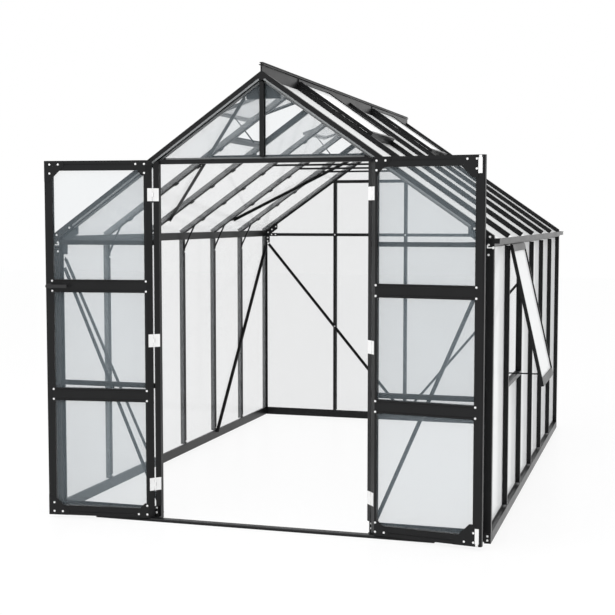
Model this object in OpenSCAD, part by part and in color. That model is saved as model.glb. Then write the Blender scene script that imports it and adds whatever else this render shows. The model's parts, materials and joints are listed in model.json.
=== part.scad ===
// Aluminium-framed glass greenhouse: four bays wide and six bays long,
// with double doors, roof vents and a side window. Millimetres, +Z up.
// The origin is the middle of the doorway threshold's underside.

/* [House] */
// Spacing of the glazing bars along every wall
bay = 616; // [560:1:680]
// Distance from a corner's outer face to the first bay line
corner_in = 41; // [38:1:60]
// Height of the roof's outer plane above the wall face
eaves_z = 1626; // [1450:1:1900]
// Roof pitch in degrees
pitch = 35; // [30:0.5:40]

/* [Profiles] */
// Depth of the frame profiles from outer to inner face
wall_d = 36; // [32:0.5:40]
// Width of a glazing bar's outer cap
cap_w = 25; // [20:0.5:32]
// Thickness of caps, seats and fins
cap_t = 3; // [2:0.1:4]
// Width of a glazing bar's web between its side grooves
web_w = 17; // [12:0.5:20]
// Thickness of a glazing bar's stem between the panes
stem_t = 8; // [4:0.5:12]
// Length of the fins that hold the glass edges
fin_l = 10; // [8:0.5:16]
// Thickness of the glass
glass_t = 4; // [3:0.5:6]
// Clearance between glass and its slot
seat_gap = 0.3; // [0.1:0.05:0.5]
// Height of the base rails up to their fins
base_h = 62; // [50:1:90]
// Drop of the eaves beam's underside below the roof's outer plane
beam_drop = 54; // [48:1:80]

/* [Threshold] */
// Height of the threshold
threshold_h = 16; // [10:0.5:17]
// Depth of the threshold
sill_d = 40; // [30:1:40]
// Length of the threshold across the front
sill_l = 1970; // [1400:1:2200]
// Distance of the threshold's front edge from the wall's outer face
sill_out = 74; // [70:1:90]

/* [Gables] */
// Height of the front panels' middle crossbar
mid_bar_z = 763; // [500:1:1000]
// Height of the eaves-level crossbars' middle above the eaves beam's underside
eaves_bar_up = 5; // [-60:1:10]
// Height of the lintel's underside
lintel_z = 2018; // [1900:1:2060]
// Height of the lintel and the rear tie bar
lintel_h = 24; // [18:1:40]

/* [Ridge and gutter] */
// Thickness of the ridge web
ridge_t = 10; // [6:0.5:14]
// Height of the ridge above the roof's apex
ridge_up = 45; // [35:1:60]
// Depth of the ridge below the roof's apex
ridge_down = 52; // [45:1:70]
// Width of the ridge's top lip
ridge_lip_w = 28; // [20:1:40]
// Width of the gutter outside the wall face
gutter_w = 30; // [20:1:45]
// Height of the gutter
gutter_h = 28; // [20:1:34]
// Height of the gutter's floor above the eaves beam's underside
gutter_up = 12; // [8:0.5:13]

/* [Vents and window] */
// Length of a roof vent along the slope
vent_l = 546; // [400:1:640]
// Opening angle of the left vents above the slope
vent_open = 17; // [2:0.5:30]
// Height of the side window
window_h = 832; // [600:1:900]
// Opening angle of the side window
window_open = 13; // [2:0.5:30]
// Thickness of vent and window frames
sash_t = 20; // [14:0.5:26]
// Width of vent and window stiles
sash_stile = 18; // [14:0.5:26]
// Width of the vent rails
vent_rail = 30; // [22:0.5:45]
// Width of the window rails
window_rail = 50; // [40:0.5:60]

/* [Doors] */
// Half the distance between the two hinge axes
axis_x = 628; // [600:1:660]
// Distance of the hinge axes in front of the wall's outer face
axis_out = 40; // [38:0.5:46]
// Angle by which the doors stand open
door_open = 172.5; // [90:0.5:174]
// Gap between the closed leaves
leaf_gap = 8; // [7:0.5:16]
// Thickness of a door leaf
leaf_t = 30; // [26:0.5:31]
// Height of the leaf's bottom edge
leaf_z = 18; // [18:0.5:40]
// Height of a door leaf
leaf_h = 2020; // [1900:1:2030]
// Width of the door stiles
door_stile = 45; // [42:0.5:60]
// Height of the top and bottom door rails
door_rail = 55; // [48:1:75]
// Height of the two middle door rails
mid_rail = 73; // [60:1:90]
// Height of the lower middle rail's centre line
lower_rail_z = 716; // [600:1:850]
// Height of the upper middle rail's centre line
upper_rail_z = 1334; // [1200:1:1450]
// Distance of the shadow groove from a top or bottom rail's outer edge
line_in = 21; // [14:0.5:30]
// Distance of the shadow grooves from a middle rail's edges
mid_line_in = 11; // [8:0.5:20]
// Arm length of the corner plates on a leaf's free side
plate_arm = 116; // [95:1:125]
// Arm length of the corner plates on a leaf's hinge side
hinge_arm = 84; // [70:1:100]
// Width of a door post's nose across the doorway
post_w = 24; // [22:0.5:30]
// Width of a door post within the wall's depth
jamb_w = 16; // [12:0.5:20]
// Height of the foot bracket below a door post's nose
nose_z = 80; // [60:1:100]

/* [Hinges] */
// Height of a hinge
hinge_h = 72; // [60:3:99]
// Width of one hinge leaf from the axis
hinge_w = 35; // [30:0.5:40]
// Radius of the hinge knuckle
knuckle_r = 3.5; // [3:0.1:4.5]
// Radius of the hinge pin
pin_r = 1.8; // [1.5:0.1:2.2]
// Radial clearance of the hinge pin
pin_gap = 0.05; // [0.02:0.01:0.1]
// Half the gap between post and door bevels
bevel_gap = 2.2; // [2:0.1:3]
// Distance of the outer hinges' middles from a leaf's ends
hinge_in = 191; // [150:1:230]

/* [Bracing] */
// Width of both flanges of the diagonal brace angles
brace_w = 20; // [14:0.5:26]
// Thickness of brace angles and joint plates
brace_t = 3; // [2:0.25:4]
// Height of the collar ties
tie_z = 2090; // [2000:1:2150]

/* [Hidden] */

frame_colour = "#1d1e20";
glass_colour = "#c9d8de66";
white_colour = "#f3f3f1";

bays_wide = 4;
bays_long = 6;
half_w = bays_wide / 2 * bay + corner_in;
front_y = sill_out - sill_d / 2;
rear_y = front_y + bays_long * bay + 2 * corner_in;
slope = tan(pitch);
apex_z = eaves_z + half_w * slope;
beam_z = eaves_z - beam_drop;
eaves_bar_z = beam_z + eaves_bar_up;

// Depths of the layers below any outer surface
seat_d = wall_d - cap_t;
rib_d = seat_d - glass_t - 2 * seat_gap;
lip_d = rib_d - cap_t;
glass_d = rib_d + seat_gap;
fin_end = wall_d + fin_l;

inner_x = half_w - wall_d;
slot_floor = base_h - fin_l;
beam_fin_z = beam_z - fin_l;
bar_end_u = half_w / cos(pitch);
pane_end_u = (half_w - seat_gap + glass_d * sin(pitch)) / cos(pitch);
apex_pane_u = (ridge_t / 2 + seat_gap + (glass_d + glass_t) * sin(pitch)) / cos(pitch);

// Drop of the eaves joint plates below the eaves beam's underside
plate_drop = 65;

// Vents and window: bay numbers and the round bead that hangs them, the window's below the gutter
vent_bays = [1, 4];
window_bay = 1;
bead_r = 6;
sash_gap = 5.5;
sash_w = bay - cap_w - 2 * sash_gap;
rebate = 8;
bead_out = seat_gap + sash_t / 2;
bead_x = ridge_t / 2 + seat_gap + bead_r;
bead_u = (bead_x - bead_out * sin(pitch)) / cos(pitch);
bead_z = apex_z - bead_u * sin(pitch) + bead_out * cos(pitch);
sill_u = bead_u + vent_l - vent_rail / 2;
gutter_wall = 2.5;
window_x = half_w + gutter_wall;
window_top_z = beam_z - bead_r - seat_gap;
window_sill_z = window_top_z - window_h + window_rail / 2;

// Door leaf, measured from its hinge axis
leaf_end = axis_x - leaf_gap / 2;
jamb_x = axis_x - jamb_w;
axis_y = front_y - axis_out;
bevel_off = bevel_gap * sqrt(2);
nose_gap = 1.5;
hinge_clear = knuckle_r + nose_gap;
groove_w = glass_t + 2 * seat_gap;
groove_d = 8;
groove_q = (leaf_t - groove_w) / 2;
hinge_zs = [leaf_z + hinge_in, leaf_z + leaf_h / 2, leaf_z + leaf_h - hinge_in];
leaf_plate_t = 2.5;
flush_bolt_w = 21;
flush_bolt_t = 4;
flush_bolt_in = 11;
flush_bolt_zone = flush_bolt_in + flush_bolt_w + 1;

// Door rails: lower edge, height, and the shadow grooves' heights above that edge
mid_lines = [mid_line_in, mid_rail - mid_line_in];
rail_zs = [
    [leaf_z, door_rail, [line_in]],
    [lower_rail_z - mid_rail / 2, mid_rail, mid_lines],
    [upper_rail_z - mid_rail / 2, mid_rail, mid_lines],
    [leaf_z + leaf_h - door_rail, door_rail, [door_rail - line_in]]
];

// Hinges: three knuckles share one axis, thin plates lie beside the bevel line
knuckle_l = hinge_h / 3;
knuckle_gap = 0.4;
hinge_plate_t = bevel_gap - 0.6;
plate_start = knuckle_r + 2;

function bar_y(i) = front_y + corner_in + i * bay;
function roof_z(x, depth = 0) = apex_z - abs(x) * slope - depth / cos(pitch);

// 2D profiles: width along X, depth from the outer face along Y

// Glazing bar: a rib with grooved sides outside the panes and a seat inside them
module bar_profile() {
    for (d = [0, lip_d, seat_d])
        translate([-cap_w / 2, d]) square([cap_w, cap_t]);
    translate([-web_w / 2, 0]) square([web_w, rib_d]);
    translate([-stem_t / 2, 0]) square([stem_t, wall_d]);
}

module fins_profile() {
    for (d = [lip_d, seat_d])
        translate([0, d]) square([fin_l, cap_t]);
}

// Corner section: a square tube's block with glazing fins along both walls
module corner_profile() {
    square(wall_d);
    translate([wall_d, 0]) fins_profile();
    mirror([1, -1]) translate([wall_d, 0]) fins_profile();
}

// Ridge web with a clearance around it, in X and Z
module ridge_clearance() {
    translate([-ridge_t / 2 - seat_gap, apex_z - ridge_down - seat_gap])
        square([ridge_t + 2 * seat_gap, 2 * ridge_down]);
}

// Region under the roof planes, down to the ground, in X and Z
module under_roof(depth) {
    far = 2 * half_w;
    polygon([[-far, roof_z(far, depth)], [0, roof_z(0, depth)], [far, roof_z(far, depth)],
             [far, -far], [-far, -far]]);
}

// Flat strip from one point to another, a little past both
module strip(a, b, w, past = 0) {
    run = b - a;
    translate(a) rotate(atan2(run[1], run[0]))
        translate([-past, -w / 2]) square([norm(run) + 2 * past, w]);
}

// Placement helpers

// 2D shape in X and Z, given a thickness along Y from y0
module gable_plate(y0, t) {
    translate([0, y0 + t, 0]) rotate([90, 0, 0]) linear_extrude(t) children();
}

// Right roof slope: X runs down the slope from the apex, Z is its outward normal
module right_slope() {
    translate([0, 0, apex_z]) rotate([0, pitch, 0]) children();
}

module both_sides() {
    children();
    mirror([1, 0, 0]) children();
}

// Repeats the front gable's pieces on the rear gable
module both_gables() {
    children();
    translate([0, front_y + rear_y, 0]) mirror([0, 1, 0]) children();
}

module rear_only() {
    translate([0, front_y + rear_y, 0]) mirror([0, 1, 0]) children();
}

// Upright with a profile whose width runs along X and depth along +Y
module front_upright(x, z0, z1) {
    translate([x, front_y, z0]) linear_extrude(z1 - z0) children();
}

// Crossbar in the front wall from x0 to x1, centred at height z
module front_crossbar(x0, x1, z) {
    translate([x0, front_y, z]) rotate([90, 0, 90])
        linear_extrude(x1 - x0) rotate(-90) bar_profile();
}

// Base and walls

module base_section() {
    square([wall_d, slot_floor]);
    translate([0, slot_floor]) mirror([1, -1]) fins_profile();
}

// Low sill that lies in front of the doorway
module threshold() {
    chamfer = 4;
    half_d = sill_d / 2;
    color(frame_colour) translate([-sill_l / 2, 0, 0]) rotate([90, 0, 90])
        linear_extrude(sill_l)
            polygon([[-half_d, 0], [half_d, 0], [half_d, threshold_h],
                     [chamfer - half_d, threshold_h], [-half_d, threshold_h - chamfer]]);
}

module base_rails() {
    gable_end = half_w - fin_end;
    side_l = rear_y - front_y - 2 * fin_end;
    door_side = axis_x + fin_l;
    color(frame_colour) {
        both_sides() {
            translate([door_side, front_y, 0]) rotate([90, 0, 90])
                linear_extrude(gable_end - door_side) base_section();
            translate([half_w, front_y + fin_end, 0]) mirror([1, 0, 0]) mirror([0, 1, 0])
                rotate([90, 0, 0]) linear_extrude(side_l) base_section();
        }
        rear_only() translate([-gable_end, front_y, 0]) rotate([90, 0, 90])
            linear_extrude(2 * gable_end) base_section();
    }
}

module corner_posts() {
    color(frame_colour) intersection() {
        both_gables() both_sides()
            translate([half_w, front_y, 0]) mirror([1, 0, 0])
                linear_extrude(eaves_z) corner_profile();
        gable_plate(front_y - wall_d, rear_y - front_y + 2 * wall_d) under_roof(wall_d);
    }
}

module corner_brackets() {
    bracket_h = 56;
    color(frame_colour) both_gables() both_sides()
        translate([inner_x, front_y - brace_t, 0]) cube([wall_d, brace_t, bracket_h]);
}

// Door post: a jamb within the wall and a bevelled nose that carries the hinges
module jamb_profile() {
    translate([0, axis_out]) {
        square([jamb_w, wall_d]);
        mirror([1, 0]) fins_profile();
    }
}

module nose_profile() {
    nose = hinge_clear;
    polygon([[0, nose], [nose - bevel_off, nose], [post_w, post_w + bevel_off],
             [post_w, axis_out], [0, axis_out]]);
}

module door_posts() {
    color(frame_colour) intersection() {
        both_sides() translate([-axis_x, axis_y, 0]) {
            linear_extrude(nose_z) jamb_profile();
            translate([0, 0, nose_z]) linear_extrude(apex_z) {
                jamb_profile();
                nose_profile();
            }
        }
        gable_plate(axis_y, axis_out + wall_d) under_roof(fin_end);
    }
}

// Brackets under the posts' noses, each with a low foot that reaches the threshold
module post_feet() {
    outset = 8;
    upright_w = 12;
    upright_d = 22;
    color(frame_colour) both_sides() translate([-axis_x - outset, 0, 0]) {
        translate([0, sill_d / 2, 0]) cube([jamb_w + outset, front_y - sill_d / 2, threshold_h]);
        translate([0, front_y - upright_d, threshold_h])
            cube([upright_w, upright_d, nose_z - threshold_h]);
    }
}

module left_wall_bars() {
    color(frame_colour)
        for (i = [1 : bays_long - 1])
            translate([-half_w, bar_y(i), base_h]) linear_extrude(beam_fin_z - base_h)
                rotate(-90) bar_profile();
}

module right_wall_bars() {
    color(frame_colour) mirror([1, 0, 0]) left_wall_bars();
}

module rear_posts() {
    color(frame_colour) intersection() {
        rear_only() for (x = [-bay, 0, bay])
            front_upright(x, base_h, apex_z) bar_profile();
        gable_plate(rear_y - wall_d, wall_d) under_roof(fin_end);
    }
}

module front_crossbars() {
    color(frame_colour) both_sides() for (z = [mid_bar_z, eaves_bar_z])
        front_crossbar(axis_x + fin_l, half_w - fin_end, z);
}

module rear_crossbars() {
    ends = [-half_w + fin_end, -bay, 0, bay, half_w - fin_end];
    half_cap = cap_w / 2;
    color(frame_colour) {
        rear_only() for (i = [0 : bays_wide - 1])
            front_crossbar(ends[i] + (i > 0 ? half_cap : 0),
                           ends[i + 1] - (i < bays_wide - 1 ? half_cap : 0), eaves_bar_z);
        intersection() {
            rear_only() both_sides()
                front_crossbar(half_cap, bay - half_cap, lintel_z + lintel_h / 2);
            gable_plate(rear_y - wall_d, wall_d) under_roof(fin_end);
        }
    }
}

module lintel() {
    color(frame_colour) intersection() {
        translate([-jamb_x, front_y, lintel_z]) rotate([90, 0, 90])
            linear_extrude(2 * jamb_x) {
                square([wall_d, lintel_h]);
                translate([0, lintel_h]) mirror([1, -1]) fins_profile();
            }
        gable_plate(front_y, wall_d) under_roof(fin_end);
    }
}

module gable_bar() {
    color(frame_colour) intersection() {
        front_upright(0, lintel_z + lintel_h + fin_l, apex_z) bar_profile();
        gable_plate(front_y, wall_d) under_roof(fin_end);
    }
}

// Eaves, gutters and ridge

module eaves_section() {
    polygon([[half_w, beam_z], [half_w, roof_z(half_w, seat_d)],
             [inner_x, roof_z(inner_x, seat_d)], [inner_x, beam_z]]);
    translate([half_w, beam_z]) rotate(-90) mirror([0, 1]) fins_profile();
}

module eaves_beams() {
    y0 = front_y + fin_end;
    color(frame_colour) both_sides()
        gable_plate(y0, rear_y - front_y - 2 * fin_end) eaves_section();
}

// Gutter section: a flange down the beam, a floor and an outer wall with a lip
module gutter_section() {
    lip = 6;
    translate([half_w, beam_z]) square([gutter_wall, gutter_up + gutter_wall]);
    translate([half_w, beam_z + gutter_up]) {
        square([gutter_w, gutter_wall]);
        translate([gutter_w - gutter_wall, 0]) {
            square([gutter_wall, gutter_h]);
            translate([0, gutter_h - gutter_wall]) square([lip, gutter_wall]);
        }
    }
}

// Gutters, each end closed by a cap that laps the corner post
module gutters() {
    lap = 10;
    color(frame_colour) both_sides() {
        gable_plate(front_y, rear_y - front_y) gutter_section();
        both_gables() translate([half_w - lap, front_y - brace_t, beam_z + gutter_up])
            cube([lap + gutter_w, brace_t, gutter_h]);
    }
}

// Bent drain spout with a round end, on the front face of each front corner post
module gutter_outlets() {
    spout_t = 5;
    rise = 16;
    drop = 12;
    end_r = 7;
    color(white_colour) both_sides() gable_plate(front_y - spout_t, spout_t)
        translate([inner_x, beam_z - drop]) {
            square([spout_t, rise]);
            square([wall_d - end_r / 2, spout_t]);
            translate([wall_d - end_r / 2, spout_t / 2]) circle(end_r, $fn = 40);
        }
}

module ridge_section() {
    lip_h = 15;
    lip_t = 4;
    half_lip = ridge_lip_w / 2;
    top = ridge_up - lip_h;
    foot = ridge_t / 2;
    translate([0, apex_z])
        polygon([[-foot, -ridge_down], [foot, -ridge_down], [foot, top - lip_t], [half_lip, top],
                 [half_lip, top + lip_t], [foot, top + lip_t], [foot, ridge_up - lip_t],
                 [half_lip - lip_t, ridge_up - lip_t], [half_lip - lip_t, ridge_up],
                 [-half_lip + lip_t, ridge_up], [-half_lip + lip_t, ridge_up - lip_t],
                 [-foot, ridge_up - lip_t], [-foot, top + lip_t], [-half_lip, top + lip_t],
                 [-half_lip, top], [-foot, top - lip_t]]);
}

module ridge() {
    color(frame_colour) gable_plate(front_y, rear_y - front_y) ridge_section();
}

// Roof

// Everything on the house side of the ridge web, in X and Z
module beyond_ridge() {
    translate([ridge_t / 2, 0]) square([2 * half_w, 2 * apex_z]);
}

// Slanted band of the right slope between two depths, with upright ends, in X and Z
module roof_band(d0, d1, x0, x1) {
    polygon([[x0, roof_z(x0, d0)], [x1, roof_z(x1, d0)], [x1, roof_z(x1, d1)], [x0, roof_z(x0, d1)]]);
}

// Section of a gable rafter with a fin below it that stops beside the corner post
module finned_band(x0) {
    x1 = half_w - fin_end;
    polygon([[x0, roof_z(x0)], [half_w, roof_z(half_w)], [half_w, roof_z(half_w, wall_d)],
             [x1, roof_z(x1, wall_d)], [x1, roof_z(x1, fin_end)], [x0, roof_z(x0, fin_end)]]);
}

// Gable rafter in slices of depth, with two fins below it for the gable glass
// and two fins inside it for the roof glass
module slope_rafter() {
    x0 = ridge_t / 2;
    for (d = [lip_d, seat_d])
        gable_plate(front_y + d, cap_t) finned_band(x0);
    for (slice = [[0, lip_d], [rib_d, seat_d]])
        gable_plate(front_y + slice[0], slice[1] - slice[0]) roof_band(0, wall_d, x0, half_w);
    gable_plate(front_y + wall_d, fin_l) {
        roof_band(lip_d, rib_d, x0, half_w);
        roof_band(seat_d, wall_d, x0, inner_x);
    }
}

module gable_rafters() {
    color(frame_colour) both_gables() both_sides() slope_rafter();
}

module slope_bars() {
    difference() {
        intersection() {
            right_slope() for (i = [1 : bays_long - 1])
                translate([-wall_d, bar_y(i), 0]) rotate([0, 90, 0])
                    linear_extrude(bar_end_u + wall_d) rotate(-90) bar_profile();
            gable_plate(front_y, rear_y - front_y) beyond_ridge();
        }
        // Each bar is notched over the eaves beam
        gable_plate(front_y, rear_y - front_y) intersection() {
            translate([inner_x, 0]) square([2 * fin_end, 2 * apex_z]);
            under_roof(seat_d);
        }
    }
}

module right_roof_bars() {
    color(frame_colour) slope_bars();
}

module left_roof_bars() {
    color(frame_colour) mirror([1, 0, 0]) slope_bars();
}

module vent_sills() {
    color(frame_colour) both_sides() right_slope() for (i = vent_bays)
        translate([sill_u, bar_y(i) + cap_w / 2, 0]) mirror([0, 0, 1])
            rotate([-90, 0, 0]) mirror([0, 1, 0]) linear_extrude(bay - cap_w) bar_profile();
}

module window_sill() {
    color(frame_colour)
        translate([half_w, bar_y(window_bay) + cap_w / 2, window_sill_z]) rotate([-90, 0, 0])
            linear_extrude(bay - cap_w) rotate(90) bar_profile();
}

// Bracing

module collar_ties() {
    tie_h = 14;
    tie_t = 6;
    color(frame_colour) for (i = [1 : bays_long - 1])
        gable_plate(bar_y(i) - tie_t / 2, tie_t) intersection() {
            translate([-half_w, tie_z - tie_h / 2]) square([2 * half_w, tie_h]);
            under_roof(wall_d);
        }
}

module knee_braces() {
    knee_w = 10;
    along = 75;
    down = 72;
    foot = [inner_x, beam_z - down];
    head = [inner_x - along, roof_z(inner_x - along, wall_d)];
    color(frame_colour) both_sides() for (i = [1 : bays_long - 1])
        gable_plate(bar_y(i) - stem_t / 2, stem_t) intersection() {
            strip(foot, head, knee_w, along);
            under_roof(wall_d);
            translate([-inner_x, 0]) square([2 * inner_x, 2 * apex_z]);
        }
}

// Angle section from one point to another on the plane Z = 0, one flange standing on it
module brace_angle(a, b) {
    run = b - a;
    half = brace_w / 2;
    translate([a[0], a[1], 0]) rotate(atan2(run[1], run[0])) rotate([90, 0, 90])
        linear_extrude(norm(run))
            polygon([[-half, 0], [half, 0], [half, brace_t], [brace_t - half, brace_t],
                     [brace_t - half, brace_w], [-half, brace_w]]);
}

// Angles on the inner faces of the long walls, from each corner post to a bar's foot
module wall_braces() {
    drop = 87;
    head = [front_y + fin_end + brace_w, beam_z - drop];
    color(frame_colour) both_gables() both_sides()
        translate([inner_x, 0, 0]) mirror([1, 0, 0]) rotate([90, 0, 90])
            brace_angle(head, [bar_y(2), slot_floor]);
}

// Angle on the inner face of a gable wall, from a foot up to beside a corner post
module gable_brace(foot, side, drop) {
    translate([0, front_y + wall_d, 0]) mirror([0, 1, 0]) rotate([90, 0, 0])
        brace_angle(foot, [inner_x - side, beam_z - drop]);
}

// The front ones stand on the door posts, the rear ones beside the middle post
module gable_braces() {
    front_side = 14;
    front_drop = 143;
    rear_side = 26;
    rear_drop = plate_drop + brace_w / 2;
    color(frame_colour) {
        both_sides()
            gable_brace([axis_x - jamb_w / 2, slot_floor / 2], front_side, front_drop);
        rear_only() both_sides()
            gable_brace([brace_w, base_h + brace_w], rear_side, rear_drop);
    }
}

// Angles under the roof bars, from each gable's rafter to above a bar's knee brace
module roof_braces() {
    head = [170, front_y + fin_end + brace_w];
    side = 130;
    foot = [(inner_x - side) / cos(pitch), bar_y(2)];
    color(frame_colour) both_gables() both_sides() right_slope()
        translate([0, 0, -wall_d]) mirror([0, 0, 1]) brace_angle(head, foot);
}

module apex_plates() {
    reach = 100;
    drop = 150;
    color(frame_colour) both_gables() gable_plate(front_y + wall_d, brace_t) difference() {
        intersection() {
            under_roof(wall_d + seat_gap);
            translate([-reach, apex_z - drop]) square([2 * reach, drop]);
        }
        ridge_clearance();
    }
}

// Joint plate with arms along the rafter, down the post and along the crossbar
module eaves_plate() {
    edge = inner_x - seat_gap;
    reach = 105;
    rafter_arm = 80;
    post_arm = 34;
    bar_arm = 28;
    intersection() {
        union() {
            difference() {
                under_roof(0);
                under_roof(rafter_arm);
            }
            translate([edge - post_arm, beam_z - plate_drop]) square([post_arm, apex_z]);
            translate([0, eaves_bar_z - bar_arm / 2]) square([edge, bar_arm]);
        }
        under_roof(wall_d + seat_gap);
        translate([edge - reach, 0]) square([reach, apex_z]);
    }
}

module eaves_plates() {
    color(frame_colour) both_gables() both_sides()
        gable_plate(front_y + wall_d, brace_t) eaves_plate();
}

// Fixed glass

module pane_cube(y0, y1, z0, z1) {
    translate([-half_w + glass_d, y0 + seat_gap, z0 + seat_gap])
        cube([glass_t, y1 - y0 - 2 * seat_gap, z1 - z0 - 2 * seat_gap]);
}

function pane_y0(i) = i == 0 ? front_y + wall_d : bar_y(i) + stem_t / 2;
function pane_y1(i) = i == bays_long - 1 ? rear_y - wall_d : bar_y(i + 1) - stem_t / 2;

module left_wall_glass() {
    color(glass_colour) for (i = [0 : bays_long - 1])
        pane_cube(pane_y0(i), pane_y1(i), slot_floor, beam_z);
}

module right_wall_glass() {
    color(glass_colour) mirror([1, 0, 0]) for (i = [0 : bays_long - 1])
        pane_cube(pane_y0(i), pane_y1(i), slot_floor,
                  i == window_bay ? window_sill_z - stem_t / 2 : beam_z);
}

module slope_glass() {
    right_slope() for (i = [0 : bays_long - 1]) {
        vented = len(search(i, vent_bays)) > 0;
        u0 = vented ? sill_u + stem_t / 2 + seat_gap : apex_pane_u;
        translate([u0, pane_y0(i) + seat_gap, -glass_d - glass_t])
            cube([pane_end_u - u0, pane_y1(i) - pane_y0(i) - 2 * seat_gap, glass_t]);
    }
}

module right_roof_glass() {
    color(glass_colour) slope_glass();
}

module left_roof_glass() {
    color(glass_colour) mirror([1, 0, 0]) slope_glass();
}

// One gable pane: a rectangle of slot sides, trimmed under the rafter
module gable_pane(x0, x1, z0, z1) {
    gable_plate(front_y + glass_d, glass_t) difference() {
        intersection() {
            translate([x0 + seat_gap, z0 + seat_gap])
                square([x1 - x0 - 2 * seat_gap, z1 - z0 - 2 * seat_gap]);
            under_roof(wall_d + seat_gap);
        }
        ridge_clearance();
    }
}

module front_glass() {
    half = stem_t / 2;
    color(glass_colour) both_sides() {
        gable_pane(axis_x, inner_x, slot_floor, mid_bar_z - half);
        gable_pane(axis_x, inner_x, mid_bar_z + half, eaves_bar_z - half);
        gable_pane(axis_x, inner_x, eaves_bar_z + half, apex_z);
        gable_pane(half, jamb_x, lintel_z + lintel_h, apex_z);
    }
}

module rear_glass() {
    half = stem_t / 2;
    tie = lintel_z + lintel_h / 2;
    color(glass_colour) rear_only() both_sides() {
        gable_pane(bay + half, inner_x, slot_floor, eaves_bar_z - half);
        gable_pane(half, bay - half, slot_floor, eaves_bar_z - half);
        gable_pane(bay + half, inner_x, eaves_bar_z + half, apex_z);
        gable_pane(half, bay - half, eaves_bar_z + half, tie - half);
        gable_pane(half, bay - half, tie + half, apex_z);
    }
}

// Hanging sashes: X runs down from the bead, Z is the outward normal

module sash_frame(length, rail) {
    inner_w = sash_w - 2 * sash_stile;
    difference() {
        union() {
            translate([bead_r / 2, -sash_w / 2, -sash_t / 2])
                cube([length - bead_r / 2, sash_w, sash_t]);
            rotate([90, 0, 0]) cylinder(r = bead_r, h = sash_w, center = true, $fn = 48);
        }
        translate([rail, -inner_w / 2, -sash_t])
            cube([length - 2 * rail, inner_w, 2 * sash_t]);
        translate([rail - rebate, -inner_w / 2 - rebate, -glass_t / 2 - seat_gap])
            cube([length - 2 * rail + 2 * rebate, inner_w + 2 * rebate, sash_t]);
    }
}

module sash_pane(length, rail) {
    inner_w = sash_w - 2 * sash_stile;
    edge = rebate - seat_gap;
    translate([rail - edge, -inner_w / 2 - edge, -glass_t / 2])
        cube([length - 2 * rail + 2 * edge, inner_w + 2 * edge, glass_t]);
}

// Stay arm that leans from a lug under a sash's lower rail to a round knob
module sash_stay(length, rail, arm_l, lean) {
    arm_w = 8;
    lug_r = 7;
    knob_r = 7;
    lug_share = 0.8;
    translate([length - lug_share * rail, 0, -sash_t / 2 - lug_r - seat_gap]) rotate([90, 90 + lean, 0])
        linear_extrude(brace_t, center = true) {
            circle(lug_r, $fn = 40);
            translate([0, -arm_w / 2]) square([arm_l, arm_w]);
            translate([arm_l, 0]) circle(knob_r, $fn = 40);
        }
}

module at_vents(opening) {
    for (i = vent_bays)
        translate([bead_x, bar_y(i) + bay / 2, bead_z]) rotate([0, pitch - opening, 0])
            children();
}

module at_window() {
    translate([window_x, bar_y(window_bay) + bay / 2, window_top_z])
        rotate([0, 90 - window_open, 0]) children();
}

module left_vents() {
    color(frame_colour) mirror([1, 0, 0]) at_vents(vent_open) sash_frame(vent_l, vent_rail);
}

module right_vents() {
    color(frame_colour) at_vents(0) sash_frame(vent_l, vent_rail);
}

module left_vent_glass() {
    color(glass_colour) mirror([1, 0, 0]) at_vents(vent_open) sash_pane(vent_l, vent_rail);
}

module right_vent_glass() {
    color(glass_colour) at_vents(0) sash_pane(vent_l, vent_rail);
}

module vent_stays() {
    arm_l = 190;
    lean_past_sill = 4;
    color(frame_colour) mirror([1, 0, 0]) at_vents(vent_open)
        sash_stay(vent_l, vent_rail, arm_l, vent_open + lean_past_sill);
}

module side_window() {
    color(frame_colour) at_window() sash_frame(window_h, window_rail);
}

module side_window_glass() {
    color(glass_colour) at_window() sash_pane(window_h, window_rail);
}

module window_stay() {
    arm_l = 240;
    color(frame_colour) at_window() sash_stay(window_h, window_rail, arm_l, window_open);
}

// Doors: X runs from the hinge axis along the leaf, Y from its outer to its inner face

module left_leaf() {
    translate([-axis_x, axis_y, 0]) rotate(-door_open) children();
}

module right_leaf() {
    mirror([1, 0, 0]) left_leaf() children();
}

module glass_groove() {
    translate([-groove_d, groove_q]) square([2 * groove_d, groove_w]);
}

module hinge_stile_profile() {
    nose = hinge_clear;
    difference() {
        polygon([[nose, 0], [door_stile, 0], [door_stile, leaf_t],
                 [leaf_t + bevel_off, leaf_t], [nose, nose - bevel_off]]);
        translate([door_stile, 0]) glass_groove();
    }
}

module free_stile_profile() {
    difference() {
        translate([leaf_end - door_stile, 0]) square([door_stile, leaf_t]);
        translate([leaf_end - door_stile, 0]) glass_groove();
    }
}

module leaf_stiles() {
    translate([0, 0, leaf_z]) linear_extrude(leaf_h) {
        hinge_stile_profile();
        free_stile_profile();
    }
}

// Rails carry a glass groove in each edge and shadow grooves on the inner face
module leaf_rails() {
    line_w = 5;
    line_d = 3;
    rail_l = leaf_end - 2 * door_stile;
    for (rail = rail_zs)
        translate([door_stile, 0, rail[0]]) rotate([90, 0, 90]) linear_extrude(rail_l)
            difference() {
                square([leaf_t, rail[1]]);
                for (edge = [0, rail[1]])
                    translate([groove_q, edge - groove_d]) square([groove_w, 2 * groove_d]);
                for (line_z = rail[2])
                    translate([leaf_t - line_d, line_z - line_w / 2])
                        square([2 * line_d, line_w]);
            }
}

module leaf_panes() {
    reach = groove_d - seat_gap;
    for (i = [0 : len(rail_zs) - 2]) {
        z0 = rail_zs[i][0] + rail_zs[i][1] - reach;
        z1 = rail_zs[i + 1][0] + reach;
        translate([door_stile - reach, groove_q + seat_gap, z0])
            cube([leaf_end - 2 * door_stile + 2 * reach, glass_t, z1 - z0]);
    }
}

// Triangular plate with a cut-off long side, for a corner at the origin
module corner_plate(arm) {
    cut = arm / 4;
    polygon([[0, 0], [arm, 0], [arm, cut], [cut, arm], [0, arm]]);
}

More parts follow.
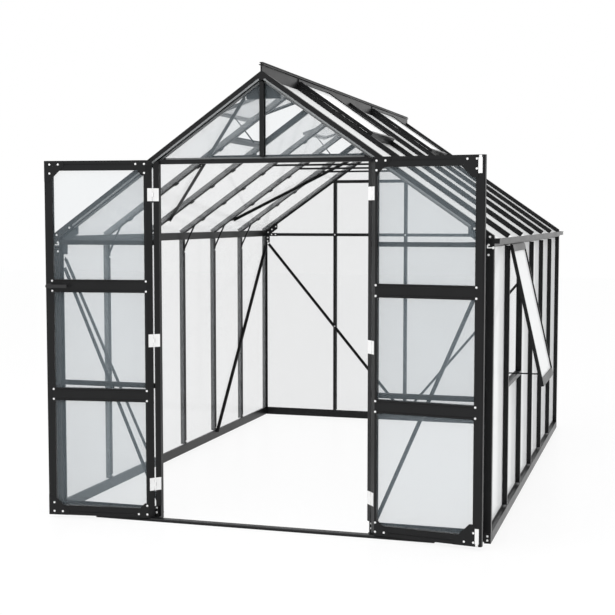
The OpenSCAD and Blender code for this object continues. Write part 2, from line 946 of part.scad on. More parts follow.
// Corner plates on the inner face; free_inset leaves room for a bolt at the free edge
module leaf_plates(free_inset = 0) {
    hinge_edge = leaf_t + bevel_off;
    for (x = [[hinge_edge, 0, hinge_arm], [leaf_end - free_inset, 1, plate_arm]])
        for (z = [[leaf_z, 0], [leaf_z + leaf_h, 1]])
            translate([x[0], leaf_t + leaf_plate_t, z[0]]) rotate([90, 0, 0])
                linear_extrude(leaf_plate_t) mirror([x[1], 0]) mirror([0, z[1]]) corner_plate(x[2]);
}

// Plate of a door's hinge leaf beside the bevel line, from a distance off the axis
module hinge_plate(start) {
    rotate(45) translate([start, -bevel_gap]) square([hinge_w - start, hinge_plate_t]);
}

module knuckle_profile() {
    hinge_plate(0);
    circle(knuckle_r, $fn = 48);
}

// Stacks a lower, middle and upper slice of a hinge leaf
module door_hinge_leaf() {
    z0 = knuckle_l + knuckle_gap;
    z1 = 2 * knuckle_l - knuckle_gap;
    for (slice = [[0, z0], [z1, hinge_h]])
        translate([0, 0, slice[0]]) linear_extrude(slice[1] - slice[0]) hinge_plate(plate_start);
    translate([0, 0, z0]) linear_extrude(z1 - z0) difference() {
        knuckle_profile();
        circle(pin_r + pin_gap, $fn = 48);
    }
}

module post_hinge_leaf() {
    for (z0 = [0, 2 * knuckle_l])
        translate([0, 0, z0]) linear_extrude(knuckle_l) mirror([1, -1]) knuckle_profile();
    translate([0, 0, knuckle_l]) linear_extrude(knuckle_l) {
        mirror([1, -1]) hinge_plate(plate_start);
        circle(pin_r, $fn = 48);
    }
}

module post_hinges() {
    color(white_colour) both_sides() for (z = hinge_zs)
        translate([-axis_x, axis_y, z - hinge_h / 2]) post_hinge_leaf();
}

module leaf_hinges() {
    for (z = hinge_zs) translate([0, 0, z - hinge_h / 2]) door_hinge_leaf();
}

module left_door_stiles() {
    color(frame_colour) left_leaf() leaf_stiles();
}

module left_door_rails() {
    color(frame_colour) left_leaf() leaf_rails();
}

module left_door_plates() {
    color(frame_colour) left_leaf() leaf_plates();
}

module left_door_glass() {
    color(glass_colour) left_leaf() leaf_panes();
}

module left_door_hinges() {
    color(white_colour) left_leaf() leaf_hinges();
}

module right_door_stiles() {
    color(frame_colour) right_leaf() leaf_stiles();
}

module right_door_rails() {
    color(frame_colour) right_leaf() leaf_rails();
}

module right_door_plates() {
    color(frame_colour) right_leaf() leaf_plates(flush_bolt_zone);
}

module right_door_glass() {
    color(glass_colour) right_leaf() leaf_panes();
}

module right_door_hinges() {
    color(white_colour) right_leaf() leaf_hinges();
}

// Lever with its rose, standing off a face in the +Y direction
module lever() {
    rose_r = 16;
    rose_t = 6;
    neck_r = 8;
    stand_off = 36;
    grip_l = 125;
    grip_h = 18;
    grip_t = 11;
    rotate([-90, 0, 0]) {
        cylinder(r = rose_r, h = rose_t, $fn = 48);
        cylinder(r = neck_r, h = stand_off, $fn = 48);
        translate([0, 0, stand_off]) linear_extrude(grip_t) {
            circle(d = grip_h, $fn = 48);
            translate([-grip_l + grip_h / 2, -grip_h / 2]) square([grip_l - grip_h / 2, grip_h]);
        }
    }
}

module door_handles() {
    spot = [leaf_end - door_stile / 2, leaf_t, upper_rail_z];
    color("#151515") left_leaf() {
        translate(spot) lever();
        translate([spot[0], 0, spot[2]]) mirror([0, 1, 0]) lever();
    }
}

module edge_strip() {
    strip_t = 3;
    inset = 4;
    color(frame_colour) right_leaf() translate([leaf_end, inset, leaf_z])
        cube([strip_t, leaf_t - 2 * inset, leaf_h]);
}

// Slide bolts at the top and bottom of the free stile, each a case with a narrower tongue
module flush_bolts() {
    case_l = 80;
    tongue_l = 12;
    tongue_w = 14;
    tongue_t = 3;
    edge = 2;
    color(white_colour) right_leaf() for (z = [[leaf_z + edge, 0], [leaf_z + leaf_h - edge, 1]])
        translate([leaf_end - flush_bolt_in - flush_bolt_w / 2, leaf_t, z[0]]) mirror([0, 0, z[1]]) {
            translate([-tongue_w / 2, 0, 0]) cube([tongue_w, tongue_t, tongue_l]);
            translate([-flush_bolt_w / 2, 0, tongue_l]) cube([flush_bolt_w, flush_bolt_t, case_l]);
        }
}

threshold();
base_rails();
corner_posts();
corner_brackets();
door_posts();
post_feet();
left_wall_bars();
right_wall_bars();
rear_posts();
front_crossbars();
rear_crossbars();
lintel();
gable_bar();
eaves_beams();
gutters();
gutter_outlets();
gable_rafters();
ridge();
left_roof_bars();
right_roof_bars();
vent_sills();
window_sill();
collar_ties();
knee_braces();
wall_braces();
gable_braces();
roof_braces();
apex_plates();
eaves_plates();
front_glass();
rear_glass();
left_wall_glass();
right_wall_glass();
left_roof_glass();
right_roof_glass();
left_vents();
right_vents();
left_vent_glass();
right_vent_glass();
vent_stays();
side_window();
side_window_glass();
window_stay();
post_hinges();
left_door_stiles();
left_door_rails();
left_door_plates();
left_door_glass();
left_door_hinges();
door_handles();
right_door_stiles();
right_door_rails();
right_door_plates();
right_door_glass();
right_door_hinges();
edge_strip();
flush_bolts();
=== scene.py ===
"""Looks of an aluminium and glass greenhouse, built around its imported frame."""

import json
import logging
import math
from dataclasses import dataclass, field
from enum import Enum
from typing import Any, Iterator, Sequence

import bpy
from mathutils import Matrix, Vector

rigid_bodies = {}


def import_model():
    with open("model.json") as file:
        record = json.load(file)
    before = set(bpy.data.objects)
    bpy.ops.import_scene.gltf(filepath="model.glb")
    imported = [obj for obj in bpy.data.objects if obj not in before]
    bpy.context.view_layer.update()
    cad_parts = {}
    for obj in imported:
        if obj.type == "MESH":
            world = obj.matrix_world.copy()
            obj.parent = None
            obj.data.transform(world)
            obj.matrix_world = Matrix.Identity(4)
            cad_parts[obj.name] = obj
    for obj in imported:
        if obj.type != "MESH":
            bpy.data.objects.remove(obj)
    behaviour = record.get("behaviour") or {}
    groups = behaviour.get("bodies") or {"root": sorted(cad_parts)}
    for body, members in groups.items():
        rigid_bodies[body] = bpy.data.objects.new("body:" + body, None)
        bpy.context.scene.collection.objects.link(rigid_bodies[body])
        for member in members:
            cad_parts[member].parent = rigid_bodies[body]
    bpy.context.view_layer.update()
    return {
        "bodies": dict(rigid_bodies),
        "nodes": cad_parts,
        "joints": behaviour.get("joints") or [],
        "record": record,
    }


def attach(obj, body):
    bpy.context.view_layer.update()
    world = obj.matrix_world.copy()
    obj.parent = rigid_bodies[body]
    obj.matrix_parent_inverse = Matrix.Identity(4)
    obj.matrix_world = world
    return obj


LOG = logging.getLogger("greenhouse")
# Panes on the studio's bright side, which get a copy of the glass with painted light and painted
# reflection, by the start of their nodes' names
PAINTED_LIT_SIDES = ("right_wall", "right_roof", "right_vent", "side_window")

Colour = tuple[float, float, float, float]
WHITE: Colour = (1.0, 1.0, 1.0, 1.0)
# The middle of a noise texture's values
NOISE_MEAN = 0.5
# Colour sockets of a Mix node, by number
MIX_LOW, MIX_HIGH, MIX_RESULT = 6, 7, 2


class Side(Enum):
    """The two long sides of the house, by the sign of X."""

    LEFT = -1
    RIGHT = 1


class Gable(Enum):
    """The two gable walls, by the way into the house along Y."""

    FRONT = 1
    REAR = -1


class Sock:
    """A shader socket whose operators add Math nodes to its graph."""

    def __init__(self, graph: "Graph", socket: bpy.types.NodeSocket) -> None:
        """Wraps one output socket of a graph."""
        self.graph = graph
        self.socket = socket

    def _math(self, operation: str, first: Any, second: Any) -> "Sock":
        """Adds a Math node.

        Args:
            operation: The Math node's operation.
            first: The first operand, a number or a socket.
            second: The second operand, a number or a socket.

        Returns:
            The node's value.
        """
        settings = {"operation": operation}
        return self.graph.node("ShaderNodeMath", settings, {0: first, 1: second}, "Value")

    def __add__(self, other: Any) -> "Sock":
        """Adds a value."""
        return self._math("ADD", self, other)

    __radd__ = __add__

    def __sub__(self, other: Any) -> "Sock":
        """Takes a value away."""
        return self._math("SUBTRACT", self, other)

    def __mul__(self, other: Any) -> "Sock":
        """Multiplies by a value."""
        return self._math("MULTIPLY", self, other)

    def __pow__(self, other: Any) -> "Sock":
        """Raises to a power."""
        return self._math("POWER", self, other)

    def at_least(self, other: Any) -> "Sock":
        """Limits from below."""
        return self._math("MAXIMUM", self, other)

    def at_most(self, other: Any) -> "Sock":
        """Limits from above."""
        return self._math("MINIMUM", self, other)


class Graph:
    """A node tree, filled by one node-making method."""

    def __init__(self, owner: bpy.types.Material | bpy.types.World) -> None:
        """Starts an empty tree.

        Args:
            owner: The material or world that the tree belongs to.
        """
        self.owner = owner
        owner.use_nodes = True
        self.tree = owner.node_tree
        self.tree.nodes.clear()

    @classmethod
    def of_material(cls, name: str) -> "Graph":
        """Starts a new material of that name."""
        return cls(bpy.data.materials.new(name))

    def node(self, kind: str, settings: dict[str, Any] | None = None,
             inputs: dict[int | str, Any] | None = None, output: int | str = 0) -> Sock:
        """Adds a node.

        Args:
            kind: The node's type name.
            settings: Attributes that are set first.
            inputs: Values or sockets by the input's name or number.
            output: The output to return.

        Returns:
            The wrapped output.
        """
        made = self.tree.nodes.new(kind)
        for key, value in (settings or {}).items():
            setattr(made, key, value)
        for key, value in (inputs or {}).items():
            if isinstance(value, Sock):
                self.tree.links.new(value.socket, made.inputs[key])
            else:
                made.inputs[key].default_value = value
        return Sock(self, made.outputs[output])

    def noise(self, scale: float, detail: float = 2.0) -> Sock:
        """Adds a noise texture on Object coordinates.

        Args:
            scale: Features a metre.
            detail: Octaves of the noise.

        Returns:
            The noise value from 0 to 1.
        """
        place = self.node("ShaderNodeTexCoord", output="Object")
        inputs = {"Vector": place, "Scale": scale, "Detail": detail}
        return self.node("ShaderNodeTexNoise", None, inputs, "Fac")

    def blend(self, factor: Sock, low: Colour, high: Colour) -> Sock:
        """Mixes two colours by a factor."""
        inputs = {"Factor": factor, MIX_LOW: low, MIX_HIGH: high}
        return self.node("ShaderNodeMix", {"data_type": "RGBA"}, inputs, MIX_RESULT)

    def bump(self, height: Sock, strength: float, distance: float) -> Sock:
        """Turns a height into a normal."""
        inputs = {"Height": height, "Strength": strength, "Distance": distance}
        return self.node("ShaderNodeBump", None, inputs, "Normal")

    def principled(self, inputs: dict[int | str, Any]) -> Sock:
        """Adds a Principled shader with those inputs."""
        return self.node("ShaderNodeBsdfPrincipled", None, inputs)

    def seen_directly(self) -> Sock:
        """Marks what the camera sees straight, in gloss or through glass.

        Returns:
            1 for such a ray and 0 for any other.
        """
        rays = [self.node("ShaderNodeLightPath", output=f"Is {kind} Ray")
                for kind in ("Camera", "Glossy", "Transmission")]
        return rays[0].at_least(rays[1]).at_least(rays[2])

    def close(self, shader: Sock, kind: str = "Material") -> Any:
        """Links a shader to the output.

        Args:
            shader: The finished shader.
            kind: The output node's kind, Material or World.

        Returns:
            The material or world that the tree belongs to.
        """
        end = self.tree.nodes.new(f"ShaderNodeOutput{kind}")
        self.tree.links.new(shader.socket, end.inputs["Surface"])
        return self.owner


@dataclass(frozen=True)
class PowderCoat:
    """Satin black powder coat on aluminium, with a fine grain and soft clouding."""

    name: str = "black_powder_coat"
    dark: Colour = (0.0070, 0.0072, 0.0076, 1.0)
    light: Colour = (0.0125, 0.0128, 0.0134, 1.0)
    gloss_ior: float = 1.28
    roughness: float = 0.32
    roughness_swing: float = 0.12
    grain_per_m: float = 1400.0
    grain_strength: float = 0.12
    grain_height: float = 0.0004
    cloud_per_m: float = 5.0

    def build(self) -> bpy.types.Material:
        """Makes the material.

        Returns:
            The finished material.
        """
        graph = Graph.of_material(self.name)
        cloud = graph.noise(self.cloud_per_m, detail=3.0)
        grain = graph.noise(self.grain_per_m, detail=1.0)
        return graph.close(graph.principled({
            "Base Color": graph.blend(cloud, self.dark, self.light),
            "Roughness": self.roughness + (cloud - NOISE_MEAN) * self.roughness_swing,
            "Normal": graph.bump(grain, self.grain_strength, self.grain_height),
            "IOR": self.gloss_ior,
        }))


@dataclass(frozen=True)
class PaneGlass:
    """Clear float glass: a cool grey veil face on, with a painted reflection that turns its
    colour paler towards grazing view.
    """

    name: str = "float_glass"
    tint: Colour = (0.27, 0.30, 0.315, 1.0)
    # The colour the glass takes at grazing view: a painted reflection of the white studio
    sheen: Colour = (0.72, 0.73, 0.74, 1.0)
    veil: float = 0.115
    dust: float = 0.02
    dust_per_m: float = 2.2
    rim_blend: float = 0.5
    rim_gain: float = 0.3
    rim_power: float = 5.0
    sheen_gain: float = 1.6
    roughness: float = 0.03
    dust_roughness: float = 0.05
    gloss_ior: float = 1.35

    def build(self) -> bpy.types.Material:
        """Makes the material.

        Returns:
            The finished material.
        """
        graph = Graph.of_material(self.name)
        rim = graph.node("ShaderNodeLayerWeight", None, {"Blend": self.rim_blend}, "Facing")
        dust = graph.noise(self.dust_per_m, detail=4.0)
        # Painted reflection: the colour goes from the tint to the sheen colour towards grazing
        # view
        painted_sheen_share = (rim * rim * self.sheen_gain).at_most(1.0)
        edge = (rim ** self.rim_power) * self.rim_gain
        return graph.close(graph.principled({
            "Base Color": graph.blend(painted_sheen_share, self.tint, self.sheen),
            "Roughness": self.roughness + dust * self.dust_roughness,
            "Alpha": (self.veil + dust * self.dust + edge).at_most(1.0),
            "IOR": self.gloss_ior,
        }))


@dataclass(frozen=True)
class MouldedPlastic:
    """Moulded plastic with a fine spark-eroded grain."""

    name: str
    colour: Colour
    shade: Colour
    roughness: float
    roughness_swing: float = 0.12
    grain_per_m: float = 900.0
    grain_strength: float = 0.1
    grain_height: float = 0.0003
    cloud_per_m: float = 24.0

    def build(self) -> bpy.types.Material:
        """Makes the material.

        Returns:
            The finished material.
        """
        graph = Graph.of_material(self.name)
        grain = graph.noise(self.grain_per_m)
        cloud = graph.noise(self.cloud_per_m)
        return graph.close(graph.principled({
            "Base Color": graph.blend(cloud, self.colour, self.shade),
            "Roughness": self.roughness + (grain - NOISE_MEAN) * self.roughness_swing,
            "Normal": graph.bump(grain, self.grain_strength, self.grain_height),
        }))


@dataclass(frozen=True)
class BrightZinc:
    """Bright zinc-plated steel of the bolt heads, lightly clouded; their near-white colour is
    partly painted reflection of the white studio.
    """

    name: str = "bright_zinc"
    # Near-white colours on a mostly non-metal surface: partly painted reflection
    bright: Colour = (0.93, 0.93, 0.925, 1.0)
    dull: Colour = (0.80, 0.80, 0.80, 1.0)
    metallic: float = 0.25
    roughness: float = 0.3
    roughness_swing: float = 0.15
    cloud_per_m: float = 220.0

    def build(self) -> bpy.types.Material:
        """Makes the material.

        Returns:
            The finished material.
        """
        graph = Graph.of_material(self.name)
        cloud = graph.noise(self.cloud_per_m)
        return graph.close(graph.principled({
            "Base Color": graph.blend(cloud, self.bright, self.dull),
            "Metallic": self.metallic,
            "Roughness": self.roughness + cloud * self.roughness_swing,
        }))


@dataclass(frozen=True)
class StudioFloor:
    """White studio floor that keeps the object's shadow and a faint reflection."""

    name: str = "studio_floor"
    colour: Colour = (0.93, 0.93, 0.935, 1.0)
    roughness: float = 0.3
    gloss_ior: float = 1.25
    glow: float = 0.86

    def build(self) -> bpy.types.Material:
        """Makes the material.

        Returns:
            The finished material.
        """
        graph = Graph.of_material(self.name)
        matt = graph.principled({
            "Base Color": self.colour,
            "Roughness": self.roughness,
            "IOR": self.gloss_ior,
        })
        white = graph.node("ShaderNodeEmission", None, {"Color": WHITE})
        factor = graph.seen_directly() * self.glow
        inputs = {0: factor, 1: matt, 2: white}
        return graph.close(graph.node("ShaderNodeMixShader", None, inputs))


@dataclass
class Finishes:
    """Every finish of the house, built once."""

    coat: bpy.types.Material = field(default_factory=PowderCoat().build)
    # The glass comes in copies whose tints and veils differ only as painted light: the darker
    # plain copy on most panes, a paler bluer copy on the doors and front wall, and a whitened
    # copy on the bright side
    glass: bpy.types.Material = field(default_factory=PaneGlass().build)
    # Copy for the panes on the bright side: painted light, whiter and more opaque towards grazing
    # view as a painted reflection of the white studio
    painted_lit_glass: bpy.types.Material = field(default_factory=PaneGlass(
        "bright_float_glass", sheen=(0.97, 0.98, 0.98, 1.0), veil=0.09, rim_gain=1.5,
        gloss_ior=1.05).build)
    front_glass: bpy.types.Material = field(default_factory=PaneGlass(
        "front_float_glass", tint=(0.37, 0.44, 0.485, 1.0), veil=0.09).build)
    bedded_glass: bpy.types.Material = field(default_factory=PaneGlass(
        "bedded_glass", tint=(0.36, 0.375, 0.38, 1.0), veil=0.5).build)
    zinc: bpy.types.Material = field(default_factory=BrightZinc().build)
    white: bpy.types.Material = field(default_factory=MouldedPlastic(
        "white_plastic", (0.90, 0.90, 0.895, 1.0), (0.84, 0.84, 0.835, 1.0), 0.35).build)
    black: bpy.types.Material = field(default_factory=MouldedPlastic(
        "black_plastic", (0.010, 0.010, 0.011, 1.0), (0.016, 0.016, 0.017, 1.0), 0.42).build)

    def of_node(self, node: str, slot: str) -> bpy.types.Material:
        """Finds the material of a node, by its slot and, on glass, by the way it faces, which
        picks the copy of the glass with the matching painted light.

        Args:
            node: The node's name.
            slot: The node's slot in the record.

        Returns:
            The material.
        """
        if slot == "glass" and node.startswith(PAINTED_LIT_SIDES):
            return self.painted_lit_glass
        if slot == "glass" and ("door" in node or node.startswith("front")):
            return self.front_glass
        return {"frame_coat": self.coat, "glass": self.glass, "white_plastic": self.white,
                "black_plastic": self.black}[slot]

    def dress_nodes(self, frame: dict[str, Any]) -> None:
        """Dresses every node of the frame by its slot.
        """
        rows = frame["record"]["subparts"]
        for row in rows:
            node = frame["nodes"][row["node"]]
            node.data.materials.clear()
            node.data.materials.append(self.of_node(row["node"], row["material_slot"]))
        LOG.info("%d nodes dressed", len(rows))


@dataclass(frozen=True)
class HouseSizes:
    """Main sizes of the house, in metres and radians."""

    half_w: float = 1.273
    front_y: float = 0.054
    rear_y: float = 3.832
    eaves_z: float = 1.626
    pitch: float = math.radians(35.0)
    bay: float = 0.616
    corner_in: float = 0.041
    bays_long: int = 6
    wall_d: float = 0.036
    cap_w: float = 0.025
    lip_d: float = 0.0254
    fin_end: float = 0.046
    ridge_half: float = 0.005
    pane_out: float = 0.0287
    pane_in: float = 0.0327
    plate_t: float = 0.003
    base_h: float = 0.062
    beam_z: float = 1.572
    eaves_bar_z: float = 1.577
    rear_tie_z: float = 2.030
    lintel_top_z: float = 2.042
    brace_cross_z: float = 0.790
    vent_bays: tuple[int, int] = (1, 4)

    @property
    def apex_z(self) -> float:
        """Height of the roof planes' meeting line."""
        return self.eaves_z + self.half_w * math.tan(self.pitch)

    @property
    def inner_x(self) -> float:
        """Inner face of the long walls."""
        return self.half_w - self.wall_d

    def bar_y(self, number: int) -> float:
        """Gives the place of a glazing bar along the house."""
        return self.front_y + self.corner_in + number * self.bay

    def roof_z(self, x: float, depth: float = 0.0) -> float:
        """Gives the height of the roof plane, or of a plane below it."""
        return self.apex_z - abs(x) * math.tan(self.pitch) - depth / math.cos(self.pitch)

    def gable_y(self, gable: Gable, depth: float) -> float:
        """Gives the place of a gable wall's layer, by its depth from outside."""
        outer = self.front_y if gable is Gable.FRONT else self.rear_y
        return outer + gable.value * depth

    def slope_turn(self, side: Side) -> Matrix:
        """Finds a slope's own axes: X down the slope, Y along the house, Z out of it.

        Args:
            side: The slope's side.

        Returns:
            The axes, from the roof planes' meeting line.
        """
        run = Vector((side.value * math.cos(self.pitch), 0.0, -math.sin(self.pitch)))
        out = Vector((side.value * math.sin(self.pitch), 0.0, math.cos(self.pitch)))
        turn = Matrix((run, out.cross(run), out)).transposed().to_4x4()
        return Matrix.Translation((0.0, 0.0, self.apex_z)) @ turn


@dataclass(frozen=True)
class LeafSizes:
    """Sizes of a door leaf, in metres and radians, measured from its hinge axis."""

    axis_x: float = 0.628
    axis_y: float = 0.014
    opened: float = math.radians(172.5)
    length: float = 0.624
    thick: float = 0.030
    bottom: float = 0.018
    height: float = 2.020
    stile: float = 0.045
    hinge_edge: float = 0.0331
    plate_t: float = 0.0025
    bolt_zone: float = 0.033
    mid_rails: tuple[float, float] = (0.716, 1.334)

    def turn(self, side: Side) -> Matrix:
        """Finds a leaf's own axes at rest: X along it, Y towards its inner face.

        Args:
            side: The leaf's side.

        Returns:
            The axes, from the foot of the hinge axis.
        """
        turned = Matrix.Translation((-self.axis_x, self.axis_y, 0.0)) @ \
            Matrix.Rotation(-self.opened, 4, "Z")
        if side is Side.RIGHT:
            turned = Matrix.Scale(-1.0, 4, (1.0, 0.0, 0.0)) @ turned
        return turned


@dataclass(frozen=True)
class Spot:
    """A place on a surface, the way out of it and the way along it."""

    at: Vector
    out: Vector
    along: Vector = Vector((0.0, 0.0, 1.0))

    def matrix(self) -> Matrix:
        """Finds the place's own axes.

        Returns:
            The axes: Z out of the surface, X along it.
        """
        out = self.out.normalized()
        along = (self.along - out * self.along.dot(out)).normalized()
        turn = Matrix((along, out.cross(along), out)).transposed().to_4x4()
        return Matrix.Translation(self.at) @ turn


class Workbench:
    """Modelling steps that several pieces share."""

    @staticmethod
    def clear() -> None:
        """Deselects every object."""
        bpy.ops.object.select_all(action="DESELECT")

    @staticmethod
    def pick_top(piece: bpy.types.Object, least_z: float = 0.9) -> None:
        """Leaves a piece in edit mode with only its upward faces selected.

        Args:
            piece: The object to work on, in object mode.
            least_z: The least Z of such a face's normal.
        """
        bpy.ops.object.mode_set(mode="EDIT")
        bpy.ops.mesh.select_mode(type="FACE")
        bpy.ops.mesh.select_all(action="DESELECT")
        bpy.ops.object.mode_set(mode="OBJECT")
        for face in piece.data.polygons:
            face.select = face.normal.z > least_z
        bpy.ops.object.mode_set(mode="EDIT")

    @staticmethod
    def block(size: tuple[float, float, float], ease: float,
              segments: int = 1) -> bpy.types.Object:
        """Models a block on the plane Z = 0, with the edges of its top bevelled.

        Args:
            size: Its size along X, Y and Z.
            ease: The bevel's size.
            segments: The bevel's steps.

        Returns:
            The block, in object mode.
        """
        Workbench.clear()
        bpy.ops.mesh.primitive_cube_add(size=1.0, location=(0.0, 0.0, 0.5))
        bpy.ops.transform.resize(value=size, center_override=(0.0, 0.0, 0.0))
        bpy.ops.object.transform_apply(location=True, rotation=True, scale=True)
        block = bpy.context.object
        Workbench.pick_top(block)
        bpy.ops.mesh.bevel(offset=ease, segments=segments, affect="EDGES")
        bpy.ops.object.mode_set(mode="OBJECT")
        return block

    @staticmethod
    def spread(model: bpy.types.Object, spots: Sequence[Spot], name: str,
               finish: bpy.types.Material, slot: str, body: str) -> None:
        """Copies a model to every spot and joins the copies to one piece.

        Args:
            model: The model, at the origin with Z out of its seat; it is removed.
            spots: Where the copies go.
            name: The piece's name.
            finish: The piece's material.
            slot: The record's slot of that finish; not used.
            body: The body that carries the piece.
        """
        Workbench.clear()
        for spot in spots:
            copy = model.copy()
            copy.data = model.data.copy()
            bpy.context.collection.objects.link(copy)
            copy.matrix_world = spot.matrix()
            copy.select_set(True)
            bpy.context.view_layer.objects.active = copy
        if len(spots) > 1:
            bpy.ops.object.join()
        bpy.ops.object.transform_apply(location=True, rotation=True, scale=True)
        piece = bpy.context.object
        piece.name = name
        piece.data.materials.clear()
        piece.data.materials.append(finish)
        bpy.data.objects.remove(model)
        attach(piece, body)
        LOG.info("%s: %d copies", name, len(spots))


@dataclass
class BoltHead:
    """A round-headed bolt with a thin washer flange."""

    radius: float = 0.006
    flange: float = 0.0012
    rise: float = 0.0026
    sides: int = 14
    flange_share: float = 0.16
    # Steps of the dome: the inset as a share of the radius, the lift as a share of the rise
    dome_steps: tuple[tuple[float, float], ...] = ((0.14, 0.62), (0.4, 0.38))
    smooth_below: float = math.radians(55.0)

    def model(self) -> bpy.types.Object:
        """Models one head on the plane Z = 0.

        Returns:
            The head, in object mode.
        """
        Workbench.clear()
        bpy.ops.mesh.primitive_cylinder_add(
            vertices=self.sides, radius=self.radius, depth=self.flange,
            location=(0.0, 0.0, self.flange / 2))
        bpy.ops.object.transform_apply(location=True, rotation=True, scale=True)
        head = bpy.context.object
        Workbench.pick_top(head)
        bpy.ops.mesh.inset(thickness=self.radius * self.flange_share)
        for share, lift in self.dome_steps:
            bpy.ops.mesh.extrude_region_move(
                TRANSFORM_OT_translate={"value": (0.0, 0.0, self.rise * lift)})
            bpy.ops.mesh.inset(thickness=self.radius * share)
        bpy.ops.object.mode_set(mode="OBJECT")
        bpy.ops.object.shade_smooth_by_angle(angle=self.smooth_below)
        return head


@dataclass
class DoorBolts:
    """Bolt heads on the inner face of one door leaf."""

    side: Side
    leaf: LeafSizes = field(default_factory=LeafSizes)
    end_in: float = 0.021
    side_in: float = 0.007
    free_in: float = 0.032
    pitch: float = 0.050
    rail_half: float = 0.0285
    stile_in: float = 0.008

    def corner_spots(self) -> Iterator[tuple[float, float]]:
        """Finds the three bolts of each corner plate.

        Returns:
            Their places along and up the leaf.
        """
        bolted = self.side is Side.RIGHT
        free_in = self.leaf.bolt_zone + self.side_in if bolted else self.free_in
        top = self.leaf.bottom + self.leaf.height
        for start, way in ((self.leaf.hinge_edge + self.side_in, 1.0),
                           (self.leaf.length - free_in, -1.0)):
            for end, rise in ((self.leaf.bottom, 1.0), (top, -1.0)):
                for along, up in ((0.0, 0.0), (self.pitch, 0.0), (0.0, self.pitch)):
                    yield (start + way * along, end + rise * (self.end_in + up))

    def rail_spots(self) -> Iterator[tuple[float, float]]:
        """Finds the two bolts at each end of the middle rails.

        Returns:
            Their places along and up the leaf.
        """
        for height in self.leaf.mid_rails:
            for along in (self.leaf.stile - self.stile_in,
                          self.leaf.length - self.leaf.stile + self.stile_in):
                for up in (-self.rail_half, self.rail_half):
                    yield (along, height + up)

    def build(self, finish: bpy.types.Material) -> None:
        """Models the bolts and hangs them on the leaf.

        Args:
            finish: The bolts' material.
        """
        turn = self.leaf.turn(self.side)
        out = (turn.to_3x3() @ Vector((0.0, 1.0, 0.0))).normalized()
        face = self.leaf.thick
        spots = [Spot(turn @ Vector((p, face + self.leaf.plate_t, z)), out)
                 for p, z in self.corner_spots()]
        spots += [Spot(turn @ Vector((p, face, z)), out) for p, z in self.rail_spots()]
        body = f"{self.side.name.lower()}_door"
        Workbench.spread(BoltHead().model(), spots, f"{body}_bolts", finish,
                         "white_plastic", body)


@dataclass
class HouseBolts:
    """Bolt heads on the joints of the fixed frame."""

    sizes: HouseSizes = field(default_factory=HouseSizes)
    # Outside, on the front: distance from the middle and depth below the roof
    rafter_bolts: tuple[tuple[float, float], ...] = ((1.170, 0.030), (1.2515, 0.018))
    post_x: float = 1.245
    post_drop: float = 0.047
    bracket_x: float = 1.255
    bracket_zs: tuple[float, float] = (0.017, 0.039)
    foot_x: float = 0.630
    foot_out: float = 0.022
    foot_zs: tuple[float, float] = (0.041, 0.068)
    # Inside, on the joint plates: distances in from the wall's inner face
    plate_rafter_ins: tuple[float, ...] = (0.02, 0.055, 0.09)
    plate_rafter_d: float = 0.056
    plate_post_in: float = 0.016
    plate_post_drops: tuple[float, float] = (0.022, 0.052)
    plate_bar_ins: tuple[float, float] = (0.052, 0.088)
    # Distance from the middle and drop below the roof planes' meeting line
    apex_bolts: tuple[tuple[float, float], ...] = ((0.035, 0.098), (0.075, 0.118))
    wall_foot_up: float = 0.022
    wall_head_drop: float = 0.098

    def outside_front(self) -> Iterator[Spot]:
        """Finds the bolts that show on the front wall's outer face.

        Returns:
            Their places, on both sides of the doorway.
        """
        house = self.sizes
        face = house.front_y
        places = [(x, face, house.roof_z(x, depth)) for x, depth in self.rafter_bolts]
        places += [(self.post_x, face, house.eaves_bar_z),
                   (self.post_x, face, house.beam_z - self.post_drop)]
        places += [(self.bracket_x, face - house.plate_t, z) for z in self.bracket_zs]
        places += [(self.foot_x, face - self.foot_out, z) for z in self.foot_zs]
        for side in Side:
            for x, y, z in places:
                yield Spot(Vector((side.value * x, y, z)), Vector((0.0, -1.0, 0.0)))

    def joint_plates(self) -> Iterator[Spot]:
        """Finds the bolts of the joint plates.

        Returns:
            Their places, on both gables' inner faces.
        """
        house = self.sizes
        edge = house.inner_x
        places = [(edge - inset, house.roof_z(edge - inset, self.plate_rafter_d))
                  for inset in self.plate_rafter_ins]
        places += [(edge - self.plate_post_in, house.beam_z - drop)
                   for drop in self.plate_post_drops]
        places += [(edge - inset, house.eaves_bar_z) for inset in self.plate_bar_ins]
        places += [(x, house.apex_z - drop) for x, drop in self.apex_bolts]
        for gable in Gable:
            y = house.gable_y(gable, house.wall_d + house.plate_t)
            for side in Side:
                for x, z in places:
                    yield Spot(Vector((side.value * x, y, z)),
                               Vector((0.0, float(gable.value), 0.0)))

    def rear_crossings(self) -> Iterator[Spot]:
        """Finds the bolts where rear posts, crossbars and braces meet.

        Returns:
            Their places, on the inner face.
        """
        house = self.sizes
        y = house.gable_y(Gable.REAR, house.wall_d)
        places = [(x, y, house.eaves_bar_z) for x in (-house.bay, 0.0, house.bay)]
        places.append((0.0, y, house.rear_tie_z))
        places += [(x, y - house.plate_t, house.brace_cross_z) for x in (-house.bay, house.bay)]
        for place in places:
            yield Spot(Vector(place), Vector((0.0, -1.0, 0.0)))

    def wall_joints(self) -> Iterator[Spot]:
        """Finds the bolts at the heads and feet of the wall bars.

        Returns:
            Their places, on both long walls' inner faces.
        """
        house = self.sizes
        heights = (house.base_h + self.wall_foot_up, house.beam_z - self.wall_head_drop)
        for side in Side:
            for number in range(1, house.bays_long):
                for z in heights:
                    at = Vector((side.value * house.inner_x, house.bar_y(number), z))
                    yield Spot(at, Vector((-float(side.value), 0.0, 0.0)))

    def build(self, finish: bpy.types.Material) -> None:
        """Models the bolts and fixes them to the house.

        Args:
            finish: The bolts' material.
        """
        spots = [*self.outside_front(), *self.joint_plates(), *self.rear_crossings(),
                 *self.wall_joints()]
        Workbench.spread(BoltHead().model(), spots, "house_bolts", finish,
                         "white_plastic", "house")


